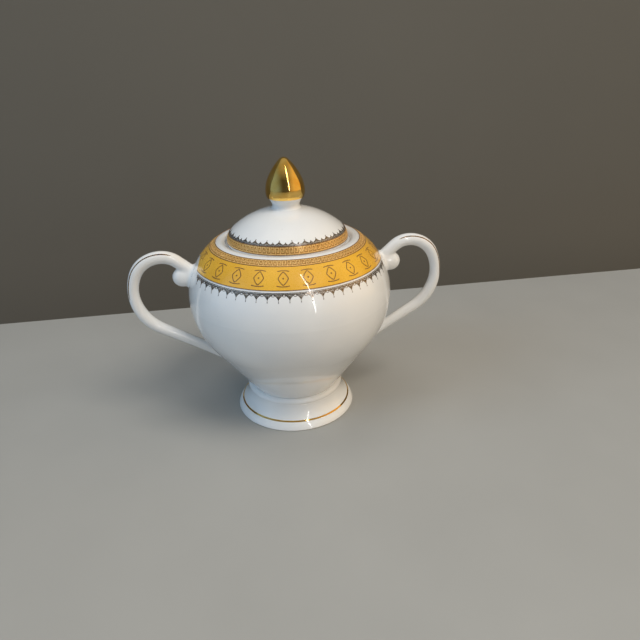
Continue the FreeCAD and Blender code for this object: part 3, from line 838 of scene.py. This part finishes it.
def make_handles(glaze, gold):
    form = HandleForm()
    low, high = (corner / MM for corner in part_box("handle_right"))
    room = Vector((ROOT_FILLET,) * 3)
    points, quads = surface_net(form.field, low - room, high + room, HANDLE_STEP)
    points = drawn_to(form.field, points)
    for side, half_turn in (("right", False), ("left", True)):
        handle = make_piece(f"handle_{side}_glazed", turned(points, half_turn), quads.tolist(),
                            glaze, "bowl")
        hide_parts(f"handle_{side}")
        for flank, face in (("front", 1), ("back", -1)):
            facing = -face if half_turn else face
            line = gilded_line(form, f"gilding_{side}_{flank}", facing, half_turn, gold)
            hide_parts(f"handle_line_{side}_{flank}")


# ---------------------------------------------------------------- stage, light and camera

def plain_panel(name, corners, material):
    """A flat surface of the stage, from its four corners in millimetres."""
    mesh = bpy.data.meshes.new(name)
    mesh.from_pydata((np.array(corners) * MM).tolist(), [], [(0, 1, 2, 3)])
    mesh.materials.append(material)
    panel = bpy.data.objects.new(name, mesh)
    bpy.context.scene.collection.objects.link(panel)


def make_stage():
    """A floor that ends behind the bowl, and a backdrop that rises from below its edge."""
    wide, near, edge = 2000, -2000, 145
    far, bottom, top = 300, -900, 1200
    floor = plain_stage("floor_plain", (0.39, 0.388, 0.37), 0.45, 60)
    wall = plain_stage("wall_plain", (0.145, 0.137, 0.118), 0.7, 200)
    plain_panel("floor", [(-wide, near, 0), (wide, near, 0), (wide, edge, 0), (-wide, edge, 0)], floor)
    plain_panel("backdrop", [(-wide, far, bottom), (wide, far, bottom), (wide, far, top),
                             (-wide, far, top)], wall)


def add_area(name, place, size, energy, colour, glossy=False):
    """A soft rectangular light that looks at the bowl; lengths in millimetres."""
    data = bpy.data.lights.new(name, "AREA")
    data.shape = "RECTANGLE"
    data.size, data.size_y = size[0] * MM, size[1] * MM
    data.energy = energy
    data.color = colour
    light = bpy.data.objects.new(name, data)
    light.location = Vector(place) * MM
    way = Vector((0, 0, LIT_HEIGHT)) - Vector(place)
    light.rotation_euler = way.to_track_quat("-Z", "Y").to_euler()
    light.visible_camera = False
    light.visible_glossy = glossy
    bpy.context.scene.collection.objects.link(light)


def make_world():
    """A dim room: cool towards the left, warm towards the right, bright overhead."""
    world = bpy.data.worlds.new("studio")
    bpy.context.scene.world = world
    world.use_nodes = True
    tree = world.node_tree
    way = tree.nodes.new("ShaderNodeSeparateXYZ")
    tree.links.new(tree.nodes.new("ShaderNodeTexCoord").outputs["Generated"], way.inputs["Vector"])
    colour = ROOM_DARK
    for axis, low, high, tint in ROOM_TINTS:
        share = tree.nodes.new("ShaderNodeMapRange")
        share.interpolation_type = "SMOOTHSTEP"
        share.inputs["From Min"].default_value = low
        share.inputs["From Max"].default_value = high
        tree.links.new(way.outputs[axis], share.inputs["Value"])
        colour = blend_colours(tree, share.outputs["Result"], colour, tint)
    tree.links.new(colour, tree.nodes["Background"].inputs["Color"])


def make_lights():
    make_world()
    add_area("key", (760, -720, 1580), (700, 700), 15.0, (1.0, 0.94, 0.85))
    add_area("window", (-1500, -500, 1000), (900, 900), 9.0, (0.42, 0.70, 1.0))
    add_area("front", (0, -1800, 350), (1200, 900), 1.2, (1.0, 0.97, 0.93))
    add_area("top", (-200, 120, 1900), (900, 900), 6.0, (1.0, 0.98, 0.95))
    add_area("strip", (215, -620, 560), (14, 1000), 1.2, (1.0, 0.99, 0.97), glossy=True)


def make_camera():
    turn, yaw, pitch, roll = (radians(angle) for angle in
                              (CAMERA_TURN, CAMERA_TURN + CAMERA_YAW, CAMERA_PITCH, CAMERA_ROLL))
    ahead = Vector((sin(yaw) * cos(pitch), cos(yaw) * cos(pitch), -sin(pitch)))
    level = Vector((cos(yaw), -sin(yaw), 0))
    down = ahead.cross(level)
    right = level * cos(roll) + down * sin(roll)
    up = level * sin(roll) - down * cos(roll)
    place = Vector((-CAMERA_REACH * sin(turn), -CAMERA_REACH * cos(turn), CAMERA_HEIGHT)) * MM
    data = bpy.data.cameras.new("camera")
    data.sensor_width = 36
    data.lens = CAMERA_LENS
    data.clip_start = 0.01
    camera = bpy.data.objects.new("camera", data)
    camera.matrix_world = Matrix.Translation(place) @ Matrix((right, up, -ahead)).transposed().to_4x4()
    bpy.context.scene.collection.objects.link(camera)
    bpy.context.scene.camera = camera


def main():
    bpy.context.scene.view_settings.view_transform = "Standard"
    finish = {"porcelain_glaze": porcelain(), "gold_lustre": gold_lustre(),
              "yellow_enamel": yellow_enamel(), "key_transfer": key_ground(),
              "lace_transfer": lace_metal()}
    for subpart in frame["record"]["subparts"]:
        for slot in frame["nodes"][subpart["node"]].material_slots:
            slot.material = finish[subpart["material_slot"]]
    make_bands(key_gold(), brown_line(), finish["lace_transfer"])
    make_handles(finish["porcelain_glaze"], gilding_painted_dark_reflection())
    make_stage()
    make_lights()
    make_camera()


main()
